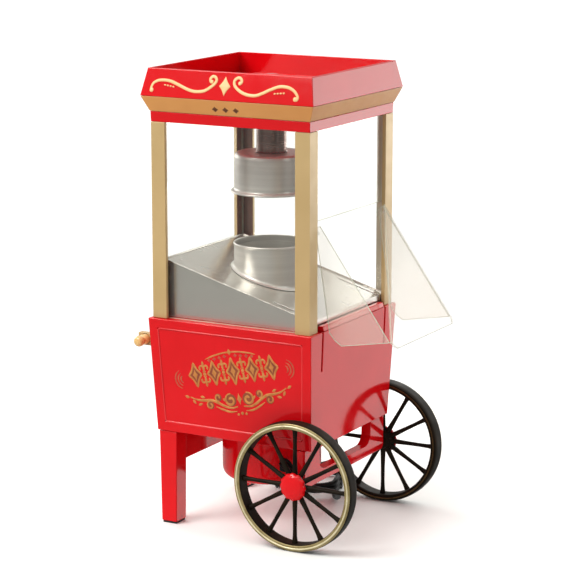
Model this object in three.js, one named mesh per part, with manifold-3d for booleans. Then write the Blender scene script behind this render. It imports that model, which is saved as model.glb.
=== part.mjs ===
// Table-top hot-air popcorn cart: a glazed cabinet on a tapered red base with two legs,
// two spoked wheels, a tilt-out door and a mains lead.
// Millimetres, +Z up. The front faces -Y, the wheels and the door are at +X, the handle at -X.
import * as THREE from 'three';
import { mergeVertices } from 'three/addons/utils/BufferGeometryUtils.js';
import Module from 'manifold-3d';

const wasm = await Module();
wasm.setup();

// ---------------------------------------------------------------- driving dimensions
const TOTAL_HEIGHT = 520;
const CENTRE_SHIFT = -28.1; // moves the middle of the whole outline onto x = 0
const GAP = 0.3; // clearance between neighbouring pieces

const BASE = { top: 240, bottom: 109, topHalf: 103.5, bottomHalfX: 98.5, bottomHalfY: 94, wall: 4 };
const FLANGE_HALF = 80; // half width of the opening in the top of the base
const PANEL = { low: 120, high: 229.5, border: 11, recess: 0.9, thickness: 1.1 };

const POST = { outer: 99.5, width: 18, thickness: 4.5, top: 460.5 };
const GLASS = { thickness: 2, face: 94.7 };
const CANOPY = {
  bandLow: 460.8, bandHigh: 472.2, bandHalf: 99.6,
  wideAt: 489.6, wideHalf: 107.9,
  rimHalfX: 102.2, rimHalfY: 100, wall: 2.5, floorLow: 492.5, floorHigh: 495.5,
};
const AXIS_X = -3; // x of the vertical axis through popping chamber, hood and motor

const TRAY = { leftX: -90.7, rightX: 94.4, leftZ: 305, slope: 0.282, halfY: 87.3, thickness: 1.5 };
const CHAMBER = { collarR: 42.4, rimZ: 319, cupR: 38, cupLow: 225, cupHigh: 313 };
const HOOD = { r: 41.8, top: 421, low: 376, flangeR: 45.7, tubeR: 17 };

const WHEEL = { x: 86.3, r: 72.6, rimInner: 64.8, outerY: 117.2, innerY: 98.6, spokes: 12, spokeR: 2.5 };
const AXLE_R = 3;
const BORE_R = 3.06;

const DOOR = {
  pivotX: 97.3, pivotZ: 348.9, openDeg: 35.3,
  offset: 7.9, thickness: 2.4, above: 6, below: 150.5, cornerR: 9, sideThickness: 1.6, halfY: 76.4, earR: 6,
};
const SLOT = { y: 75.6, width: 2.8 }; // slots that take the door's side plates

const SWITCH = { x: -62, z: 152, width: 19, height: 13 };
const CORD_D = 6;

// ---------------------------------------------------------------- materials
const finish = (color, roughness, metalness, opacity = 1) =>
  new THREE.MeshStandardMaterial({ color, roughness, metalness, opacity, transparent: opacity < 1 });
const RED = finish(0xd3161f, 0.25, 0);
const GOLD = finish(0xcdb27d, 0.4, 0.2);
const BAND_GOLD = finish(0xc8914a, 0.35, 0.3);
const CREAM_GOLD = finish(0xe6c88c, 0.3, 0.2);
const SILVER = finish(0xb4b2ae, 0.3, 0.9);
const STEEL = finish(0x8f9296, 0.35, 0.9);
const BLACK = finish(0x16130f, 0.3, 0);
const RUBBER = finish(0x1b1b1b, 0.8, 0);
const CLEAR = finish(0xf2f4f2, 0.08, 0, 0.3);
const MICA = finish(0xcabfa4, 0.7, 0);

// ---------------------------------------------------------------- solid helpers
function signedVolume(positions, index) {
  const [a, b, c] = [new THREE.Vector3(), new THREE.Vector3(), new THREE.Vector3()];
  let volume = 0;
  for (let i = 0; i < index.length; i += 3) {
    a.fromArray(positions, 3 * index[i]);
    b.fromArray(positions, 3 * index[i + 1]);
    c.fromArray(positions, 3 * index[i + 2]);
    volume += a.dot(b.cross(c)) / 6;
  }
  return volume;
}

// Turns a closed three.js geometry into a solid with its faces pointing out.
function solid(geometry) {
  const bare = geometry.clone();
  bare.deleteAttribute('normal');
  bare.deleteAttribute('uv');
  const merged = mergeVertices(bare, 1e-4);
  const positions = new Float32Array(merged.attributes.position.array);
  let triangles = new Uint32Array(merged.index.array);
  if (signedVolume(positions, triangles) < 0) triangles = triangles.reverse();
  return new wasm.Manifold(new wasm.Mesh({ numProp: 3, vertProperties: positions, triVerts: triangles }));
}

function piece(name, shape, material) {
  const { numProp, vertProperties, triVerts } = shape.getMesh();
  const positions = [];
  for (let i = 0; i < vertProperties.length; i += numProp) {
    positions.push(vertProperties[i], vertProperties[i + 1], vertProperties[i + 2]);
  }
  const geometry = new THREE.BufferGeometry();
  geometry.setAttribute('position', new THREE.Float32BufferAttribute(positions, 3));
  geometry.setIndex([...triVerts]);
  geometry.computeVertexNormals();
  const mesh = new THREE.Mesh(geometry, material);
  mesh.name = name;
  return mesh;
}

const cut = (shape, ...tools) => tools.reduce((rest, tool) => rest.subtract(tool), shape);
const join = (shape, ...others) => others.reduce((sum, other) => sum.add(other), shape);

function box(x0, x1, y0, y1, z0, z1) {
  const geometry = new THREE.BoxGeometry(x1 - x0, y1 - y0, z1 - z0);
  geometry.translate((x0 + x1) / 2, (y0 + y1) / 2, (z0 + z1) / 2);
  return solid(geometry);
}

// A six-sided solid between two level rectangles { z, x: [x0, x1], y: [y0, y1] }.
function taper(low, high) {
  const geometry = new THREE.BoxGeometry(1, 1, 1);
  const p = geometry.attributes.position;
  for (let i = 0; i < p.count; i += 1) {
    const end = p.getZ(i) < 0 ? low : high;
    p.setXYZ(i, end.x[p.getX(i) < 0 ? 0 : 1], end.y[p.getY(i) < 0 ? 0 : 1], end.z);
  }
  return solid(geometry);
}

const square = (z, halfX, halfY = halfX) => ({ z, x: [-halfX, halfX], y: [-halfY, halfY] });

// Turned solid about a vertical axis from [radius, z] points.
function turned(points, segments = 48, x = AXIS_X, y = 0) {
  const profile = points.map(([r, z]) => new THREE.Vector2(r, z));
  const geometry = new THREE.LatheGeometry(profile, segments);
  geometry.rotateX(Math.PI / 2);
  geometry.translate(x, y, 0);
  return solid(geometry);
}

// Turned solid about an axis along Y from [radius, y] points.
function turnedY(points, segments, x, z) {
  const profile = points.map(([r, y]) => new THREE.Vector2(r, y));
  const geometry = new THREE.LatheGeometry(profile, segments);
  geometry.translate(x, 0, z);
  return solid(geometry);
}

const drum = (r, z0, z1, segments = 48, x = AXIS_X, y = 0) =>
  turned([[0, z0], [r, z0], [r, z1], [0, z1]], segments, x, y);
const rodY = (r, y0, y1, segments, x, z) =>
  turnedY([[0, y0], [r, y0], [r, y1], [0, y1]], segments, x, z);

// Plate cut from an outline in the XZ plane, running from y0 to y1.
function plateXZ(outline, y0, y1) {
  const geometry = new THREE.ExtrudeGeometry(outline, { depth: y1 - y0, bevelEnabled: false, curveSegments: 8 });
  geometry.rotateX(Math.PI / 2);
  geometry.translate(0, y1, 0);
  return solid(geometry);
}

const polygon = (points) => new THREE.Shape(points.map(([u, v]) => new THREE.Vector2(u, v)));

function tube(points, radius, sides, steps) {
  const path = new THREE.CatmullRomCurve3(points.map((p) => new THREE.Vector3(...p)));
  const section = new THREE.Shape();
  section.absarc(0, 0, radius, 0, 2 * Math.PI, false);
  return solid(new THREE.ExtrudeGeometry(section, {
    steps, extrudePath: path, bevelEnabled: false, curveSegments: sides / 2,
  }));
}

const ground = new THREE.Group();
ground.position.x = CENTRE_SHIFT;
const add = (name, shape, material) => ground.add(piece(name, shape, material));
const SIDES = [['front', -1], ['rear', 1]];

// ---------------------------------------------------------------- base
const along = (z) => (z - BASE.bottom) / (BASE.top - BASE.bottom);
const baseHalfX = (z) => BASE.bottomHalfX + (BASE.topHalf - BASE.bottomHalfX) * along(z);
const baseHalfY = (z) => BASE.bottomHalfY + (BASE.topHalf - BASE.bottomHalfY) * along(z);

// The slab of base wall between two depths below its outer face, at the front or the rear.
function faceSlab(side, outward, inward, margin) {
  const level = (z, edge) => {
    const halfX = baseHalfX(z) - PANEL.border - margin;
    const span = [side * (baseHalfY(z) + outward), side * (baseHalfY(z) - inward)].sort((a, b) => a - b);
    return { z: z + edge * margin, x: [-halfX, halfX], y: span };
  };
  return taper(level(PANEL.low, 1), level(PANEL.high, -1));
}

const slotCutter = (side, x0, x1, z0, z1) =>
  box(x0, x1, side * SLOT.y - SLOT.width / 2, side * SLOT.y + SLOT.width / 2, z0, z1);

const switchHole = (grow) => box(
  SWITCH.x - SWITCH.width / 2 - grow, SWITCH.x + SWITCH.width / 2 + grow, 80, 110,
  SWITCH.z - SWITCH.height / 2 - grow, SWITCH.z + SWITCH.height / 2 + grow,
);

function buildBase() {
  const outside = taper(square(BASE.bottom, BASE.bottomHalfX, BASE.bottomHalfY), square(BASE.top, BASE.topHalf));
  const ceiling = BASE.top - 3;
  const inside = taper(
    square(BASE.bottom - 1, BASE.bottomHalfX - BASE.wall, BASE.bottomHalfY - BASE.wall),
    square(ceiling, baseHalfX(ceiling) - BASE.wall, baseHalfY(ceiling) - BASE.wall),
  );
  const opening = box(-FLANGE_HALF, FLANGE_HALF, -FLANGE_HALF, FLANGE_HALF, ceiling - 5, BASE.top + 5);
  const pocketDepth = PANEL.recess + PANEL.thickness + GAP;
  const shell = cut(
    outside, inside, opening, switchHole(0.1),
    ...SIDES.map(([, side]) => faceSlab(side, 3, pocketDepth, 0)),
    ...SIDES.map(([, side]) => slotCutter(side, 38, 112, 196, BASE.top + 8)),
  );
  add('base_shell', shell, RED);

  const fascia = (side) => faceSlab(side, -PANEL.recess, PANEL.recess + PANEL.thickness, GAP);
  add('base_front_panel', fascia(-1), RED);
  const louvres = [0, 1, 2, 3, 4].map((row) => box(10, 70, 80, 110, 140 + 12 * row, 144 + 12 * row));
  add('base_rear_panel', cut(fascia(1), switchHole(0.1), ...louvres), RED);

  const plate = box(
    -BASE.bottomHalfX + BASE.wall + GAP, BASE.bottomHalfX - BASE.wall - GAP,
    -BASE.bottomHalfY + BASE.wall + GAP, BASE.bottomHalfY - BASE.wall - GAP, BASE.bottom, BASE.bottom + 2,
  );
  add('base_bottom_plate', cut(plate, drum(30, 100, 120)), RED);

  const sillHalfY = SLOT.y - SLOT.width / 2 - 1;
  const sill = taper(
    { z: BASE.top + GAP, x: [95, 103.2], y: [-sillHalfY, sillHalfY] },
    { z: BASE.top + 6, x: [96, 101.8], y: [-sillHalfY, sillHalfY] },
  );
  add('sill_strip', sill, RED);
}

// ---------------------------------------------------------------- legs
function buildLegs() {
  const legTop = BASE.bottom - GAP;
  for (const [where, side] of SIDES) {
    const depth = (a, b) => [side * a, side * b].sort((p, q) => p - q);
    add(`leg_${where}`, taper(
      { z: 2.3, x: [-95, -75.5], y: depth(71.5, 93) },
      { z: legTop, x: [-97, -74.3], y: depth(70.8, 93) },
    ), RED);
    const [y0, y1] = depth(72.5, 92);
    add(`foot_pad_${where}`, box(-94, -76.5, y0, y1, 0, 2), RUBBER);
  }
  add('leg_apron', box(-86, -80, -70.3, 70.3, 70, legTop), RED);
}

// ---------------------------------------------------------------- axle and wheels
function buildAxle() {
  const legTop = BASE.bottom - GAP;
  const [outer, inner, low, beamTop, corner] = [96, 63, 66.5, 79, 14];
  const yoke = new THREE.Shape();
  yoke.moveTo(-outer, legTop);
  yoke.lineTo(-outer, low + 6);
  yoke.absarc(-outer + 6, low + 6, 6, Math.PI, 1.5 * Math.PI, false);
  yoke.absarc(outer - 6, low + 6, 6, 1.5 * Math.PI, 2 * Math.PI, false);
  yoke.lineTo(outer, legTop);
  yoke.lineTo(inner, legTop);
  yoke.absarc(inner - corner, beamTop + corner, corner, 0, -0.5 * Math.PI, true);
  yoke.absarc(-inner + corner, beamTop + corner, corner, -0.5 * Math.PI, -Math.PI, true);
  yoke.lineTo(-inner, legTop);
  const geometry = new THREE.ExtrudeGeometry(yoke, { depth: 12, bevelEnabled: false, curveSegments: 6 });
  geometry.rotateX(Math.PI / 2).rotateZ(Math.PI / 2).translate(WHEEL.x - 6, 0, 0);
  add('axle_yoke', cut(solid(geometry), rodY(BORE_R, -120, 120, 24, WHEEL.x, WHEEL.r)), RED);
  add('axle_rod', rodY(AXLE_R, -113.6, 113.6, 24, WHEEL.x, WHEEL.r), STEEL);
}

function rimProfile(side) {
  const { r, rimInner, outerY, innerY } = WHEEL;
  const points = [
    [rimInner, innerY + 2], [rimInner + 1.2, innerY], [r - 1.6, innerY], [r, innerY + 2.4],
    [r, outerY - 3.4], [r - 1.2, outerY - 0.9], [r - 3.4, outerY], [rimInner + 1.8, outerY - 0.4],
    [rimInner, outerY - 2.2], [rimInner, innerY + 2],
  ];
  return points.map(([radius, y]) => [radius, side * y]);
}

function buildWheels() {
  const spokeY = (WHEEL.outerY + WHEEL.innerY) / 2;
  for (const [where, side] of SIDES) {
    const spokes = [];
    for (let i = 0; i < WHEEL.spokes; i += 1) {
      const rod = new THREE.CylinderGeometry(WHEEL.spokeR - 0.3, WHEEL.spokeR + 0.3, 58, 7);
      rod.translate(0, 37, 0).rotateX(Math.PI / 2).rotateY((2 * Math.PI * i) / WHEEL.spokes);
      rod.translate(WHEEL.x, side * spokeY, WHEEL.r);
      spokes.push(solid(rod));
    }
    const hub = turnedY(
      [[0, 99.8], [8, 99.8], [9.5, 103], [12.4, 105], [12.4, 113], [0, 113]].map(([r, y]) => [r, side * y]),
      24, WHEEL.x, WHEEL.r,
    );
    const rim = turnedY(rimProfile(side), 56, WHEEL.x, WHEEL.r);
    const bore = rodY(BORE_R, -130, 130, 24, WHEEL.x, WHEEL.r);
    add(`wheel_${where}`, cut(join(rim, hub, ...spokes), bore), BLACK);

    const cap = [
      [12.8, 111.2], [15.4, 111.2], [15.4, 113.4], [13.8, 115.6], [10.4, 117.1], [5.6, 118], [0, 118.3],
      [0, 115.4], [12.2, 114.6], [12.8, 113.4], [12.8, 111.2],
    ];
    add(`hubcap_${where}`, turnedY(cap.map(([r, y]) => [r, side * y]), 24, WHEEL.x, WHEEL.r), RED);
  }
}

// ---------------------------------------------------------------- cabinet
function buildPosts() {
  const inner = POST.outer - POST.width;
  const web = POST.outer - POST.thickness;
  const corners = [['front_left', -1, -1], ['front_right', 1, -1], ['rear_left', -1, 1], ['rear_right', 1, 1]];
  for (const [where, sx, sy] of corners) {
    const span = (sign, a, b) => [sign * a, sign * b].sort((p, q) => p - q);
    const z0 = BASE.top + GAP;
    const faceLeg = box(...span(sx, inner, POST.outer), ...span(sy, web, POST.outer), z0, POST.top);
    const sideLeg = box(...span(sx, web, POST.outer), ...span(sy, inner, POST.outer), z0, POST.top);
    let post = join(faceLeg, sideLeg);
    if (sx > 0) {
      const [y0, y1] = span(sy, inner - 1, inner + 5);
      post = cut(post, rodY(1.27, y0, y1, 16, DOOR.pivotX, DOOR.pivotZ));
    }
    add(`post_${where}`, post, GOLD);
  }
}

function buildWindows() {
  const { face, thickness } = GLASS;
  const [z0, z1] = [BASE.top + GAP, POST.top];
  add('window_front', box(-face, face, -face, thickness - face, z0, z1), CLEAR);
  add('window_rear', box(-face, face, face - thickness, face, z0, z1), CLEAR);
  const halfY = face - thickness - GAP;
  add('window_left', box(-face, thickness - face, -halfY, halfY, z0, z1), CLEAR);
  add('window_right', box(face - thickness, face, -halfY, halfY, 361, z1), CLEAR);
}

function buildCanopy() {
  const ring = (low, high, wall, z0, z1) => cut(
    taper(square(z0, low), square(z1, high)),
    taper(square(z0 - 1, low - wall), square(z1 + 1, high - wall)),
  );
  add('canopy_lower_band', ring(CANOPY.bandHalf - 0.2, CANOPY.bandHalf + 0.2, 3, CANOPY.bandLow, CANOPY.bandHigh), RED);
  add('canopy_gold_band', ring(100.3, CANOPY.wideHalf - 0.3, 3, CANOPY.bandHigh + GAP, CANOPY.wideAt - GAP), BAND_GOLD);
  const ceiling = box(-96, 96, -96, 96, 464, 466);
  add('cabinet_ceiling', cut(ceiling, drum(HOOD.tubeR + 0.4, 460, 470)), RED);

  const { wall, floorLow, floorHigh, wideAt, wideHalf, rimHalfX, rimHalfY } = CANOPY;
  const outside = taper(square(wideAt, wideHalf), square(TOTAL_HEIGHT, rimHalfX, rimHalfY));
  const lean = (z) => (z - wideAt) / (TOTAL_HEIGHT - wideAt);
  const inner = (z) => square(
    z, wideHalf + (rimHalfX - wideHalf) * lean(z) - wall, wideHalf + (rimHalfY - wideHalf) * lean(z) - wall,
  );
  const well = taper(inner(floorHigh), inner(TOTAL_HEIGHT + 1));
  const underside = taper(square(wideAt - 1, wideHalf - 4), square(floorLow, wideHalf - 4));
  add('canopy_tray', cut(outside, well, underside, drum(18.5, 480, 500)), RED);

  const lid = [
    [0, 489], [15.2, 489], [15.2, floorHigh + GAP], [30, floorHigh + GAP], [31, 498], [28, 500.5],
    [10, 501.2], [8, 503], [9, 507], [6, 509], [0, 509.4],
  ];
  add('kernel_lid', turned(lid, 24), RED);
}

// ---------------------------------------------------------------- popcorn tray, chamber and hood
const trayTop = (x) => TRAY.leftZ - TRAY.slope * (x - TRAY.leftX);

function buildTray() {
  const { leftX, rightX, halfY, thickness } = TRAY;
  // The low end of the floor is folded down to the sill.
  const [lipX, lipLow] = [rightX - thickness, BASE.top + 6.4];
  const outline = polygon([
    [leftX, trayTop(leftX) - thickness], [lipX, trayTop(lipX) - thickness], [lipX, lipLow], [rightX, lipLow],
    [rightX, trayTop(rightX)], [leftX, trayTop(leftX)],
  ]);
  const floor = cut(
    plateXZ(outline, -halfY, halfY), drum(CHAMBER.collarR - 1, 200, 330),
    ...SIDES.map(([, side]) => slotCutter(side, 42, 110, 200, 330)),
  );
  add('tray_floor', floor, SILVER);
  for (const [where, side] of SIDES) {
    const [y0, y1] = [side * (halfY + GAP), side * (halfY + GAP + 1.2)].sort((a, b) => a - b);
    const z0 = BASE.top + GAP;
    const wall = polygon([
      [leftX, z0], [rightX, z0], [rightX, trayTop(rightX) + 1.5], [leftX, trayTop(leftX) + 1.5],
    ]);
    add(`tray_side_${where}`, plateXZ(wall, y0, y1), SILVER);
  }
  add('tray_end', box(leftX - 1.5, leftX - GAP, -halfY, halfY, BASE.top + GAP, trayTop(leftX) + 1.5), SILVER);
}

function buildChamber() {
  const { collarR, rimZ, cupR, cupLow, cupHigh } = CHAMBER;
  const wall = 1.2;
  const ring = turned([
    [collarR - wall, 230], [collarR, 230], [collarR, rimZ - 2.4], [collarR + 0.8, rimZ - 1],
    [collarR, rimZ], [collarR - wall, rimZ - 0.6], [collarR - wall, 230],
  ], 40);
  const below = polygon([
    [-80, 200], [80, 200], [80, trayTop(80) + GAP], [-80, trayTop(-80) + GAP],
  ]);
  add('chamber_collar', cut(ring, plateXZ(below, -60, 60)), SILVER);

  const cup = turned([
    [0, cupLow], [cupR, cupLow], [cupR, cupHigh], [cupR - 1, cupHigh], [cupR - 1, cupLow + 1], [0, cupLow + 1],
  ], 40);
  const vents = [];
  for (let i = 0; i < 8; i += 1) {
    const vent = new THREE.BoxGeometry(12, 5, 6);
    vent.translate(cupR, 0, cupLow + 8).rotateZ((2 * Math.PI * (i + 0.5)) / 8).translate(AXIS_X, 0, 0);
    vents.push(solid(vent));
  }
  add('popping_chamber', cut(cup, ...vents), SILVER);
}

function buildHood() {
  const { r, top, low, flangeR, tubeR } = HOOD;
  add('hood', turned([
    [r - 1, low], [flangeR, low], [flangeR + 0.4, low + 1.6], [flangeR, low + 2.6], [r + 0.6, low + 2.6],
    [r, low + 4], [r, top - 3.5], [r - 1, top - 1], [r - 3.5, top], [tubeR - 2, top],
    [tubeR - 2, top - 1], [r - 4, top - 1], [r - 1.6, top - 3], [r - 1, top - 5], [r - 1, low],
  ], 40), SILVER);
  add('fill_tube', turned([
    [tubeR - 1, top + GAP], [tubeR, top + GAP], [tubeR, 491.5], [tubeR - 1, 491.5], [tubeR - 1, top + GAP],
  ], 32), SILVER);
}

// ---------------------------------------------------------------- blower and heater
function buildBlower() {
  const duct = { r: 40, low: BASE.bottom + 2 + GAP, high: CHAMBER.cupLow - GAP };
  add('air_duct', turned([
    [duct.r - 1.2, duct.low], [duct.r, duct.low], [duct.r, duct.high], [duct.r - 1.2, duct.high],
    [duct.r - 1.2, duct.low],
  ], 32), STEEL);

  const [frameLow, frameHigh, frameHalf] = [176, 214, 25];
  const blades = [
    box(AXIS_X - frameHalf, AXIS_X + frameHalf, -0.8, 0.8, frameLow, frameHigh),
    box(AXIS_X - 0.8, AXIS_X + 0.8, -frameHalf, frameHalf, frameLow, frameHigh),
  ];
  add('heater_frame', join(...blades), MICA);
  const coil = [];
  const [turns, perTurn, coilR] = [3, 12, 27.5];
  for (let i = 0; i <= turns * perTurn; i += 1) {
    const angle = (2 * Math.PI * i) / perTurn;
    const z = frameLow + 5 + (28 * i) / (turns * perTurn);
    coil.push([AXIS_X + coilR * Math.cos(angle), coilR * Math.sin(angle), z]);
  }
  add('heater_coil', tube(coil, 1.2, 6, 45), STEEL);

  const fan = { low: 118, r: 33 };
  const vanes = [];
  for (let i = 0; i < 8; i += 1) {
    const vane = new THREE.BoxGeometry(24, 1.4, 16);
    vane.translate(20.5, 0, fan.low + 9).rotateZ((2 * Math.PI * i) / 8).translate(AXIS_X, 0, 0);
    vanes.push(solid(vane));
  }
  const wheel = join(drum(fan.r, fan.low, fan.low + 1.6, 32), drum(9, fan.low, fan.low + 18, 16), ...vanes);
  add('fan_impeller', cut(wheel, drum(1.6, fan.low - 5, fan.low + 30, 12)), BLACK);
  add('motor_shaft', drum(1.5, 80, fan.low + 20, 12), STEEL);

  const motor = turned([
    [0, 62], [6, 62], [6, 66], [17, 66], [17, 99], [6, 99], [6, 102], [0, 102],
  ], 24);
  add('motor', cut(motor, drum(1.6, 78, 110, 12)), STEEL);
  const mount = cut(
    drum(50, 104, 106.5, 32), drum(6.6, 95, 110, 16),
    ...[0, 1, 2].map((i) => drum(
      10, 95, 110, 16, AXIS_X + 28 * Math.cos((i * 2 * Math.PI) / 3), 28 * Math.sin((i * 2 * Math.PI) / 3),
    )),
  );
  add('motor_mount', mount, STEEL);
  buildHousing();
}

const HOUSING = { r: 57, low: 47, wall: 2.2 };
const CORD_EXIT = { azimuth: THREE.MathUtils.degToRad(-47.4), z: 73 };

function buildHousing() {
  const { r, low, wall } = HOUSING;
  const high = BASE.bottom - GAP;
  const shell = turned([
    [0, low], [r - 10, low], [r - 4.5, low + 1.6], [r - 1.2, low + 5.5], [r, low + 11], [r, high], [r - wall, high],
    [r - wall, low + 11.5], [r - wall - 1, low + 7], [r - wall - 4, low + 3.8], [r - wall - 8.5, low + wall],
    [0, low + wall],
  ], 36);
  const slots = [];
  for (let i = 0; i < 8; i += 1) {
    const slot = new THREE.BoxGeometry(26, 4, 12);
    slot.translate(27, 0, low).rotateZ((2 * Math.PI * i) / 8).translate(AXIS_X, 0, 0);
    slots.push(solid(slot));
  }
  add('motor_housing', cut(shell, ...slots, exitRod(6.3, 40, 70)), RED);
}

// ---------------------------------------------------------------- mains lead
// A round bar along the direction in which the lead leaves the housing, between two distances from its axis.
function exitRod(radius, from, to) {
  const rod = new THREE.CylinderGeometry(radius, radius, to - from, 20);
  rod.translate(0, (from + to) / 2, 0).rotateZ(-Math.PI / 2).rotateZ(CORD_EXIT.azimuth);
  rod.translate(AXIS_X, 0, CORD_EXIT.z);
  return solid(rod);
}

const exitPoint = (distance) => [
  AXIS_X + distance * Math.cos(CORD_EXIT.azimuth), distance * Math.sin(CORD_EXIT.azimuth), CORD_EXIT.z,
];

// The folded part of the lead lies on the ground; "along" runs down its length and "aside" across it.
const HANK = { x: 2, y: 118, low: 1.2, length: 102, width: 44, height: 19, azimuth: THREE.MathUtils.degToRad(108) };
const onHank = (along, aside, z) => [
  HANK.x + along * Math.cos(HANK.azimuth) + aside * Math.sin(HANK.azimuth),
  HANK.y + along * Math.sin(HANK.azimuth) - aside * Math.cos(HANK.azimuth), z,
];

function layOnHank(geometry) {
  return solid(geometry.rotateZ(HANK.azimuth).translate(HANK.x, HANK.y, 0));
}

function stadium(length, width) {
  const [half, r] = [(length - width) / 2, width / 2];
  const shape = new THREE.Shape();
  shape.absarc(half, 0, r, -Math.PI / 2, Math.PI / 2, false);
  shape.absarc(-half, 0, r, Math.PI / 2, 1.5 * Math.PI, false);
  return shape;
}

// Elbow strain relief: a round flange on the housing, then a tapered sleeve that turns down and sideways.
const SLEEVE = { from: 64, length: 27, dir: new THREE.Vector3(0.8, 0.1, -0.59).normalize() };

function buildStrainRelief() {
  const sleeve = new THREE.CylinderGeometry(3.9, 5.6, SLEEVE.length, 16);
  sleeve.translate(0, SLEEVE.length / 2, 0);
  sleeve.applyQuaternion(new THREE.Quaternion().setFromUnitVectors(new THREE.Vector3(0, 1, 0), SLEEVE.dir));
  sleeve.translate(...exitPoint(SLEEVE.from));
  const elbow = new THREE.SphereGeometry(6, 12, 8).translate(...exitPoint(SLEEVE.from));
  add('strain_relief', join(exitRod(5.9, 52, 62), exitRod(11, 57.4, 61), solid(elbow), solid(sleeve)), BLACK);
}

// Free stretch from the sleeve to the ground, where it runs into the hank.
const LEAD_ROUTE = [
  [62.6, -44.3, 56.5], [66.9, -42.6, 53.7], [71, -38.9, 50.8], [74, -33, 47.6], [75.6, -24, 44.4],
  [76, -14, 41], [75.4, -3, 37.3], [73.6, 9, 32.8], [70.6, 21, 27.7], [66.5, 33, 22.2],
  [60.6, 44.5, 16.6], [53.8, 55.5, 11.6], [47.2, 65, 7.8], [41.8, 72.6, 5.6], [37.8, 78.4, 4.6],
];

// Free stretch that leaves the hank at its far end and turns back beside it to the plug.
const PLUG_Z = 7.2;
const TAIL = { centreAlong: 30, centreAside: -13.5, r: 31.5, from: 56, high: 16.4, low: 3.3, plugAlong: 17 };

function tailRoute() {
  const points = [];
  for (let deg = TAIL.from; deg <= 180; deg += 15.5) {
    const a = THREE.MathUtils.degToRad(deg);
    const z = TAIL.high - (TAIL.high - TAIL.low) * THREE.MathUtils.smoothstep(deg, 40, 140);
    points.push(onHank(TAIL.centreAlong + TAIL.r * Math.sin(a), TAIL.centreAside + TAIL.r * Math.cos(a), z));
  }
  const aside = TAIL.centreAside - TAIL.r;
  points.push(onHank(25, aside, 6), onHank(21, aside, PLUG_Z), onHank(TAIL.plugAlong + 1, aside, PLUG_Z));
  return points;
}

function buildLead() {
  add('cord_lead', tube(LEAD_ROUTE, CORD_D / 2, 8, 28), BLACK);
  add('cord_tail', tube(tailRoute(), CORD_D / 2, 8, 16), BLACK);

  const { length, width, height, low } = HANK;
  const bundle = new THREE.ExtrudeGeometry(stadium(length, width), {
    depth: height, bevelEnabled: false, curveSegments: 10,
  });
  add('cord_hank', layOnHank(bundle.translate(0, 0, low)), BLACK);

  const band = (grow, tall) => {
    const block = new THREE.BoxGeometry(tall, width + 2 * grow, height + 2 * grow);
    return layOnHank(block.translate(0, 0, low + height / 2));
  };
  add('cord_tie', cut(band(1.1, 8), band(GAP, 20)), BLACK);
  buildPlug();
}

function buildPlug() {
  const across = TAIL.r - TAIL.centreAside;
  const neck = new THREE.CylinderGeometry(4.4, 6.6, 12, 12).rotateZ(-Math.PI / 2).translate(-6, 0, 0);
  const head = new THREE.BoxGeometry(18, 24, 13.4).translate(-20, 0, 0);
  const blades = [-6.35, 6.35].map((y) => new THREE.BoxGeometry(18, 1.5, 6.3).translate(-37, y, 0));
  const shapes = [neck, head, ...blades].map(
    (geometry) => layOnHank(geometry.translate(TAIL.plugAlong, across, PLUG_Z)),
  );
  add('plug', join(...shapes), BLACK);
}

buildBase();
buildLegs();
buildAxle();
buildWheels();
buildPosts();
buildWindows();
buildCanopy();
buildTray();
buildChamber();
buildHood();
buildBlower();
buildStrainRelief();
buildLead();

// ---------------------------------------------------------------- door
function buildDoor() {
  const { pivotX, pivotZ, openDeg, offset, thickness, sideThickness, above, below, halfY, earR, cornerR } = DOOR;
  const tilt = THREE.MathUtils.degToRad(openDeg);
  // Shut-door coordinates about the pivot, turned out to the stored open position.
  const open = (x, z) => [
    pivotX + x * Math.cos(tilt) - z * Math.sin(tilt), pivotZ + x * Math.sin(tilt) + z * Math.cos(tilt),
  ];
  const face = offset - thickness / 2;
  // The plate is drawn flat, seen from outside, with its two lower corners rounded.
  const outline = new THREE.Shape();
  outline.moveTo(-halfY, above);
  outline.absarc(cornerR - halfY, cornerR - below, cornerR, Math.PI, 1.5 * Math.PI, false);
  outline.absarc(halfY - cornerR, cornerR - below, cornerR, 1.5 * Math.PI, 2 * Math.PI, false);
  outline.lineTo(halfY, above);
  const plate = new THREE.ExtrudeGeometry(outline, { depth: thickness, bevelEnabled: false, curveSegments: 6 });
  plate.rotateX(Math.PI / 2).rotateZ(Math.PI / 2).translate(face, 0, 0);
  plate.rotateY(-tilt).translate(pivotX, 0, pivotZ);
  add('door_panel', solid(plate), CLEAR);

  for (const [where, side] of SIDES) {
    const [y0, y1] = [side * (halfY - sideThickness), side * halfY].sort((a, b) => a - b);
    const ear = [150, 180, 210].map((deg) => {
      const a = THREE.MathUtils.degToRad(deg);
      return open(earR * Math.cos(a), earR * Math.sin(a));
    });
    const wing = polygon([
      open(face - GAP, above - 0.5), open(0, earR), ...ear,
      open(-51.8, -96.8), open(-50.5, -108), open(-47.1, -116), open(face - GAP, cornerR - below),
    ]);
    const pin = rodY(1.2, ...[side * (halfY - 1), side * 85.5].sort((a, b) => a - b), 16, pivotX, pivotZ);
    add(`door_side_${where}`, join(plateXZ(wing, y0, y1), pin), CLEAR);
  }
}
buildDoor();

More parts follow.
